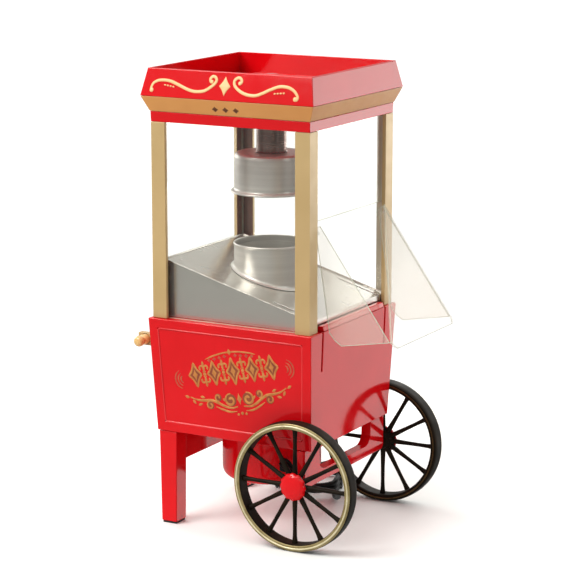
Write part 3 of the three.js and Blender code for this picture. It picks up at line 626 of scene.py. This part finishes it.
# ---------------------------------------------------------------- hood, chamber, lid, housing, handle
def add_turned_parts():
    """Round pieces on the popper's axis and the handle bar; (radius, height) profiles in mm."""
    axis = Vector((middle("hood").x, 0, 0))
    hood = [
        (40.8, 376.2), (41.8, 376), (44.9, 376), (46, 376.6), (46.1, 377.6), (45.6, 378.5), (43.4, 378.8),
        (42.2, 379.6), (41.8, 381.5), (41.8, 416), (41.2, 419.2), (39.6, 420.7), (37, 421), (17.4, 421),
        (15.2, 421), (15.2, 420), (37, 420), (39, 419.5), (40.6, 417.6), (40.8, 415), (40.8, 376.2),
    ]
    turned_piece("hood_shell", hood, axis, UP, TURNED, "cart", ["hood"], 0.5, 128)
    tube = [
        (15.9, 421.3), (17.6, 421.3), (18, 421.8), (17.6, 422.4), (17, 423), (17, 491.4), (16, 491.4),
        (15.9, 421.3),
    ]
    turned_piece("fill_tube_wall", tube, axis, UP, TUBE_PAINTED_REFLECTION, "cart", ["fill_tube"], 0.3, 96)

    lid = [
        (0, 489), (14.6, 489), (15.2, 489.6), (15.2, 495.8), (30, 495.8), (30.9, 496.6), (31, 497.8), (29.6, 499.4),
        (25, 500.6), (11, 501.4), (8.6, 502.4), (7.9, 504), (8.9, 506.6), (8.2, 508.4), (5.6, 509.2), (0, 509.5),
    ]
    turned_piece("kernel_lid_cap", lid, axis, UP, RED, "lid", ["kernel_lid"], 0.6, 96)
    add_collar(axis)
    add_housing(axis)

    lo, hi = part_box("handle_bar")
    bar = Vector(((lo.x + hi.x) / 2, 0, (lo.z + hi.z) / 2))
    half = [
        (6, 0), (6.4, 40), (6, 78.6), (4.6, 80), (4, 81.6), (5.2, 83), (6.3, 85.6), (6.1, 88.4), (4.6, 90.8),
        (2.4, 91.8), (0, 92),
    ]
    profile = [(r, -y) for r, y in reversed(half[1:])] + half
    turned_piece("handle_grip", profile, bar, ACROSS, CREAM, "cart", ["handle_bar"], 0.8, 64)


TRAY_SLOPE = 0.282  # fall of the tray floor for each unit to the right


def tray_height(x):
    """Height of the sloping tray floor, in metres, at a row-frame x."""
    lo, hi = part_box("tray_floor")
    return hi.z - TRAY_SLOPE * (x - lo.x)


def add_collar(axis):
    """Ring round the popping chamber, whose flared foot follows the sloping tray."""
    r, top, segments = 42.4, 319, 128
    inside = r - 1.2
    foot = [(inside, 0.4), (r + 3.6, 0.4), (r + 3.8, 1.0), (r + 2.2, 1.5), (r + 0.8, 2.8), (r, 5)]  # above the tray
    rolled = [
        (r, -3.4), (r + 0.3, -2.4), (r + 0.8, -1.6), (r + 0.9, -0.8), (r + 0.4, 0), (r - 0.6, 0.1), (inside, -0.7),
    ]  # from the top
    rings = [(radius, high, True) for radius, high in foot] + [(radius, top + high, False) for radius, high in rolled]
    points, faces = [], []
    for radius, height, on_tray in rings:
        for i in range(segments):
            a = 2 * math.pi * i / segments
            x, y = axis.x + radius / 1000 * math.cos(a), radius / 1000 * math.sin(a)
            points.append(Vector((x, y, height / 1000 + (tray_height(x) if on_tray else 0))))
    for k in range(len(rings)):
        n = (k + 1) % len(rings)
        for i in range(segments):
            j = (i + 1) % segments
            faces.append([k * segments + i, k * segments + j, n * segments + j, n * segments + i])
    made = piece("chamber_collar_ring", points, faces, TURNED, "cart", ["chamber_collar"])
    even_shading(made)


def carve(obj, cutters):
    """Cuts closed meshes of (points, faces) out of a piece, for good."""
    for points, faces in cutters:
        tool = bpy.data.objects.new("cutter", outward_mesh("cutter", points, faces))
        SCENE.collection.objects.link(tool)
        cut = obj.modifiers.new("cut", "BOOLEAN")
        cut.object = tool
        cut.solver = "EXACT"
        bpy.context.view_layer.update()
        evaluated = obj.evaluated_get(bpy.context.evaluated_depsgraph_get())
        result = bpy.data.meshes.new_from_object(evaluated)
        obj.modifiers.clear()
        obj.data = result
        bpy.data.objects.remove(tool)


def block(centre, size, turn=0.0):
    """Points and faces of a block turned about the vertical."""
    points = []
    for x in (-0.5, 0.5):
        for y in (-0.5, 0.5):
            for z in (-0.5, 0.5):
                offset = Matrix.Rotation(turn, 3, "Z") @ Vector((x * size[0], y * size[1], z * size[2]))
                points.append(centre + offset / 1000)
    return points, [(0, 1, 3, 2), (4, 6, 7, 5), (0, 4, 5, 1), (2, 3, 7, 6), (0, 2, 6, 4), (1, 5, 7, 3)]


def add_housing(axis):
    """The cup round the motor, with air slots in its bottom and the lead's way out."""
    r, low, wall, high = 57, 47, 2.2, 108.7
    inner = r - wall
    shell = [
        (0, low), (r - 10, low), (r - 4.5, low + 1.6), (r - 1.2, low + 5.5), (r, low + 11), (r, high), (inner, high),
        (inner, low + 11.5), (inner - 1, low + 7), (inner - 4, low + 3.8), (inner - 8.5, low + wall),
        (0, low + wall),
    ]
    points, faces = turned(soften(shell, 2.0), axis, UP, 128)
    made = piece("motor_housing_cup", points, faces, RED, "cart", ["motor_housing"])
    cutters = []
    slots, middle_r = 8, 0.027
    for i in range(slots):
        a = 2 * math.pi * i / slots
        centre = axis + Vector((middle_r * math.cos(a), middle_r * math.sin(a), low / 1000))
        cutters.append(block(centre, (26, 4, 12), a))
    cutters.append(turned([(0, 40), (6.3, 40), (6.3, 70), (0, 70)], EXIT_CENTRE, EXIT_DIR, 40))
    carve(made, cutters)
    made.data.materials.clear()
    made.data.materials.append(RED)
    shade_smooth(made.data)
    even_shading(made)


# ---------------------------------------------------------------- raised ornament
def on_front(node):
    """A function from (x, z) in mm to the point on a node's front face and its outward normal."""
    mesh = NODES[node].data
    tree = BVHTree.FromPolygons([v.co for v in mesh.vertices], [p.vertices for p in mesh.polygons])

    def find(x, z):
        hit, normal, _, _ = tree.ray_cast(mm(x, -400, z), ACROSS)
        return hit, (-normal if normal.y > 0 else normal)
    return find


def tilted(find, x, z, degrees):
    """The same surface through a local frame at (x, z), turned counter-clockwise."""
    c, s = math.cos(math.radians(degrees)), math.sin(math.radians(degrees))
    return lambda u, v: find(x + c * u - s * v, z + s * u + c * v)


# a stroke's cross-section: part of its half width, part of its height
SECTION = ((-1, -0.4), (-0.9, 0.5), (-0.55, 0.92), (0, 1.05), (0.55, 0.92), (0.9, 0.5), (1, -0.4))


class Relief:
    """Collects strokes and bosses into one raised mesh on a surface."""

    def __init__(self, find, height):
        self.find, self.height = find, height
        self.points, self.faces = [], []

    def place(self, u, v, lift):
        hit, normal = self.find(u, v)
        self.points.append(hit + normal * self.height * lift / 1000)

    def stroke(self, path, half, tips=(0.4, 0.4), steps=6):
        """A brush line of half width along a path, narrowed to tips at its two ends."""
        line = smooth_line(path, steps)
        count, first = len(line), len(self.points)
        taper = 0.3 * count
        for i, p in enumerate(line):
            way = (line[min(i + 1, count - 1)] - line[max(i - 1, 0)]).normalized()
            across = Vector((-way.y, way.x))
            w = half * min(tip + (1 - tip) * ease(far, 0, taper) for tip, far in zip(tips, (i, count - 1 - i)))
            for side, lift in SECTION:
                q = p + across * side * w
                self.place(q.x, q.y, lift)
        n = len(SECTION)
        for i in range(count - 1):
            for k in range(n):
                a, b = first + i * n + k, first + i * n + (k + 1) % n
                self.faces.append([a, b, b + n, a + n])
        self.faces.append([first + k for k in range(n)])
        self.faces.append([first + (count - 1) * n + k for k in range(n)])

    def boss(self, u, v, outline, crown=1.4):
        """A raised boss of an outline about (u, v), highest in the middle."""
        first, n = len(self.points), len(outline)
        for lift, scale in ((-0.4, 1.0), (0.5, 0.97), (1.0, 0.8)):
            for x, y in outline:
                self.place(u + x * scale, v + y * scale, lift)
        self.place(u, v, crown)
        for ring in range(2):
            for k in range(n):
                a, b = first + ring * n + k, first + ring * n + (k + 1) % n
                self.faces.append([a, b, b + n, a + n])
        for k in range(n):
            self.faces.append([first + 2 * n + k, first + 2 * n + (k + 1) % n, first + 3 * n])
        self.faces.append([first + k for k in range(n)])

    def finish(self, name, material):
        piece(name, self.points, self.faces, material, "cart")


def lozenge(half_w, half_h, waist=0.62, steps=5):
    """Outline of a lozenge with sides bowed in to waist of a straight one's middle."""
    outline = []
    corners = [(half_w, 0), (0, half_h), (-half_w, 0), (0, -half_h)]
    for (x0, y0), (x1, y1) in zip(corners, corners[1:] + corners[:1]):
        for k in range(steps):
            t = k / steps
            pull = 1 - (1 - waist) * math.sin(math.pi * t)
            outline.append(((x0 + (x1 - x0) * t) * pull, (y0 + (y1 - y0) * t) * pull))
    return outline


def disc(r, n=12):
    return [(r * math.cos(2 * math.pi * k / n), r * math.sin(2 * math.pi * k / n)) for k in range(n)]


def leaf(length, width, degrees, n=7):
    """Outline of a pointed leaf lying along a direction."""
    c, s = math.cos(math.radians(degrees)), math.sin(math.radians(degrees))
    upper = [(length * (k / n - 0.5), width * math.sin(math.pi * k / n)) for k in range(n + 1)]
    lower = [(x, -y) for x, y in reversed(upper[1:-1])]
    return [(c * x - s * y, s * x + c * y) for x, y in upper + lower]


def curl(u, v, r, start, sweep, shrink=0.72, steps=9):
    """Spiral from radius r inwards, angles in degrees."""
    made = []
    for k in range(steps + 1):
        t = k / steps
        a = math.radians(start + sweep * t)
        made.append((u + r * (1 - shrink * t) * math.cos(a), v + r * (1 - shrink * t) * math.sin(a)))
    return made


def add_canopy_ornament():
    """Flourish and lozenge on the canopy's front, and three stamps on the gold band."""
    scroll = Relief(on_front("canopy_tray"), 0.5)
    scroll.stroke([
        (-94.5, 497.4), (-94, 500), (-91.5, 504.3), (-84, 507.4), (-72, 507.2), (-61, 503.9), (-51, 500.3),
        (-43.5, 498.2), (-36, 497.6), (-27, 498.9), (-20, 502.9), (-14.6, 507.4), (-13, 511.3), (-15.3, 514.3),
        (-18.6, 514.4), (-20.8, 511.9), (-20, 509), (-18, 508.3),
    ], 1.75, (0.8, 0.9))
    scroll.stroke([
        (15.8, 508.4), (17.6, 509.4), (18.2, 512), (16, 514.5), (12.6, 514.5), (9.4, 511.6), (9.6, 507.4),
        (13, 503.6), (19, 500), (26, 497.8), (32, 497.2), (38, 497.6), (46, 500.6), (54, 504.4), (65, 508.2),
        (75, 508), (82, 505.2), (86.6, 501), (88.2, 497.6), (87, 495.4), (84.6, 495.8),
    ], 1.75, (0.9, 0.8))
    for u, v in ((-93.6, 496.6), (85.2, 496.2)):
        scroll.boss(u, v, disc(2.5))
    for u, v in ((-18.6, 508.9), (16.2, 509)):
        scroll.boss(u, v, disc(2.1))
    scroll.boss(-2, 505, lozenge(7.2, 10.4, 0.88), 2.2)
    for i in range(4):
        scroll.boss(-77 + 3.6 * i, 502.6 - 0.5 * i, leaf(3.2, 0.9, -14), 1.1)
        scroll.boss(60 + 3.6 * i, 500.6 + 0.35 * i, leaf(3.2, 1.0, 12), 1.1)
    scroll.finish("canopy_scrollwork", SCROLL)

    stamps = Relief(on_front("canopy_gold_band"), 0.25)
    for u in (-15, -2, 11):
        stamps.boss(u, 479.3, lozenge(4.0, 3.2, 0.92), 1.6)
    stamps.finish("band_stamps", STAMPED)


def add_panel_beads():
    """A rounded moulding in the recess border of the front and rear panels; its colour, lighter and pinker than the
    panels' red, is a painted highlight.
    """
    n, half, high, proud = 8, 0.9, 0.8, 0.15  # sides of the bead; the rest in mm
    for where, side in SIDES:
        mesh = NODES[f"base_{where}_panel"].data
        lo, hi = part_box(f"base_{where}_panel")
        corners = []
        for up in (-1, 1):
            level = [v.co for v in mesh.vertices if (v.co.z - (lo.z + hi.z) / 2) * up > 0]
            face_y = max(abs(c.y) for c in level)
            reach = max(abs(c.x - MID_X) for c in level)
            z = lo.z if up < 0 else hi.z
            corners += [Vector((MID_X - up * reach * k, side * face_y, z)) for k in (-1, 1)]
        path = []
        for a, b in zip(corners, corners[1:] + corners[:1]):
            path += [a.lerp(b, t) for t in (0.015, 0.25, 0.5, 0.75, 0.985)]
        centre = sum(corners, Vector()) / 4
        out = Vector((0, side, 0))
        points, faces = [], []
        for p, before, after in zip(path, path[-1:] + path[:-1], path[1:] + path[:1]):
            across = (after - before).cross(out).normalized()
            if across.dot(p - centre) < 0:
                across = -across
            for k in range(n):
                a = 2 * math.pi * k / n
                points.append(p + (across * math.cos(a) * half + out * (math.sin(a) * high + proud)) / 1000)
        for i in range(len(path)):
            for k in range(n):
                a, b = i * n + k, i * n + (k + 1) % n
                c = ((i + 1) % len(path)) * n
                faces.append([a, b, c + (k + 1) % n, c + k])
        piece(f"base_{where}_bead", points, faces, BEAD_PAINTED_HIGHLIGHT, "cart")


def add_front_ornament():
    """Symmetrical scroll and lozenge frieze, which stands for the printed decoration."""
    surface = tilted(on_front("base_front_panel"), 5, 183, 11.8)
    gold = Relief(surface, 0.28)
    shade = Relief(surface, 0.12)
    row = 7
    for i, u in enumerate((-50, -25, 0, 25, 50)):
        tall = 15 if i == 2 else 13.5
        shape = lozenge(8.2, tall, 0.84)
        gold.stroke([(u + x, row + y) for x, y in shape + shape[:1]], 1.25, (1, 1), 2)
        shade.boss(u, row, lozenge(7.8, tall - 0.5, 0.84), 1)
        gold.boss(u, row, lozenge(3.4, tall * 0.5, 0.84))
    for u in (-37.5, -12.5, 12.5, 37.5):
        for s in (-1, 1):
            for h in (-1, 1):
                arc = curl(0, 0, 4.6, 250, -300)
                gold.stroke([(u + s * (x + 3.4), row + h * (y + 6.6)) for x, y in arc], 1.2, (0.5, 1))
        gold.boss(u, row, disc(2.1))
        for h in (-1, 1):
            gold.boss(u, row + h * 12, leaf(6, 1.5, 90))
    for s in (-1, 1):
        gold.stroke([(s * 33, 23.4), (s * 24, 26), (s * 12, 28.2), (s * 3.4, 29)], 0.9, (0.4, 1))
        gold.stroke([(s * u, v) for u, v in curl(11.5, -25.5, 7.6, 100, -430, 0.8, 14)], 1.5, (0.5, 1))
        shade.boss(s * 11.5, -25.5, disc(7.4, 20), 1)
        gold.stroke([(s * u, v) for u, v in (
            (4, -33.5), (12, -34.4), (20, -32), (28, -27.4), (36, -23.6), (45, -23), (54, -21.6), (63, -17.6),
        )], 1.6, (0.5, 0.4))
        for u, v, r, start, sweep in ((39, -29, 4.8, 75, -330), (27, -21, 4.4, 260, 320)):
            gold.stroke([(s * a, b) for a, b in curl(u, v, r, start, sweep, 0.75, 10)], 1.15, (0.5, 1))
            shade.boss(s * u, v, disc(r, 16), 1)
        gold.stroke([(s * 6, -38.8), (s * 15, -38.6), (s * 24, -35.4), (s * 32, -31.2)], 1.2, (0.4, 0.4))
        for u, v, turn in ((19, -24.6, 35), (47, -19, 20), (52, -27, -15), (59, -23.4, 60), (67, -16.8, 25)):
            gold.boss(s * u, v, leaf(6.4, 1.6, s * turn))
        gold.boss(s * 5.2, -42.4, disc(1.5))
    gold.boss(0, -25, lozenge(3.2, 7, 0.84))
    gold.boss(0, -41.4, disc(1.9))
    gold.boss(0, 29, lozenge(3.6, 3.8, 0.84))
    gold.finish("front_frieze", PRINT)
    shade.finish("front_frieze_shade", SHADE)

    worn = Relief(surface, 0.2)
    for s in (-1, 1):
        for r in (4.2, 7.8, 11.4):
            arc = [math.radians(-66 + 22 * k) for k in range(7)]
            worn.stroke([(s * (66 + r * math.cos(a)), 3.5 + r * math.sin(a)) for a in arc], 1.0)
        for i in range(4):
            worn.boss(s * (7 + 7 * i), 24.6 - 0.9 * i, lozenge(2.6, 2.4, 0.86))
    worn.finish("front_frieze_worn", FAINT)


# ---------------------------------------------------------------- studio
WARM = (1, 0.988, 0.96)


def add_floor():
    points, faces = turned([(0, -4), (600, -4), (600, -0.2), (0, -0.2)], Vector((0, 0, 0)), UP, 128)
    mesh = bpy.data.meshes.new("floor")
    mesh.from_pydata([tuple(p) for p in points], [], faces)
    mesh.materials.append(FLOOR)
    floor = bpy.data.objects.new("floor", mesh)
    SCENE.collection.objects.link(floor)
    floor.visible_glossy = False  # the room in front of the object, not the floor, shows in its gloss


def add_softbox(name, direction, distance, size, power, aim=0.25, level=False):
    """A rectangular lamp that faces the object; a level one hangs upright with direction as its very place."""
    data = bpy.data.lights.new(name, "AREA")
    data.shape = "RECTANGLE"
    data.size, data.size_y = size
    data.energy = power
    data.color = WARM
    light = bpy.data.objects.new(name, data)
    SCENE.collection.objects.link(light)
    way = Vector(direction).normalized()
    light.location = Vector((0, 0, aim)) + way * distance
    light.rotation_euler = way.to_track_quat("Z", "Y").to_euler()
    if level:
        light.location = direction
        light.rotation_euler = (math.radians(-90), 0, 0)
    light.visible_camera = False


def add_studio_sky():
    """White for the camera; for the object, a dim room in front, lighter overhead and behind."""
    world = bpy.data.worlds.new("studio")
    SCENE.world = world
    world.use_nodes = True
    tree = world.node_tree
    tree.nodes.clear()
    way = put(tree, "TexCoord").outputs["Generated"]
    parts = put(tree, "SeparateXYZ", {0: way}).outputs

    def ramp(value, low, high, start, end):
        sockets = {0: value, 1: low, 2: high, 3: start, 4: end}
        return put(tree, "MapRange", sockets, interpolation_type="SMOOTHSTEP").outputs[0]

    def add(a, b):
        return put(tree, "Math", {0: a, 1: b}, operation="ADD").outputs[0]

    rear = ramp(parts["Y"], -0.3, 0.75, 0.36, 0.55)
    over = ramp(parts["Z"], 0.25, 1, 0, 1.1)
    toward = put(tree, "VectorMath", {0: way, 1: (0.49, 0.86, -0.14)}, operation="DOT_PRODUCT").outputs["Value"]
    corner = ramp(toward, 0.93, 0.995, 0, 0.95)
    right = ramp(parts["X"], 0.1, 0.8, 0, -0.26)
    total = add(add(rear, over), add(corner, right))
    room = put(tree, "Background", {"Color": (*WARM, 1), "Strength": total})
    white = put(tree, "Background", {"Color": (1, 1, 1, 1), "Strength": 1.2})
    seen = put(tree, "LightPath").outputs["Is Camera Ray"]
    both = put(tree, "MixShader", {0: seen, 1: room.outputs[0], 2: white.outputs[0]})
    put(tree, "OutputWorld", {"Surface": both.outputs[0]})


def add_studio():
    """Softboxes as (direction or place, distance in metres, size, watts, height of the aim)."""
    SCENE.view_settings.view_transform = "Standard"
    add_studio_sky()
    add_floor()
    add_softbox("key", (-0.5, -0.75, 0.85), 1.9, (1.1, 1.1), 29)
    add_softbox("rear_wall", (0.29, 0.87, 0.41), 1.0, (1.12, 0.42), 3.1, level=True)
    add_softbox("left", (-0.9, 0.3, 0.22), 1.2, (0.8, 0.5), 3.5, 0.25)
    add_softbox("edge", (0.97, -0.2, 0.25), 1.2, (0.09, 0.8), 0.9, 0.4)


add_camera()
add_lead()
add_strain_relief()
dress_frame()
add_wheels()
add_turned_parts()
add_canopy_ornament()
add_front_ornament()
add_panel_beads()
add_studio()
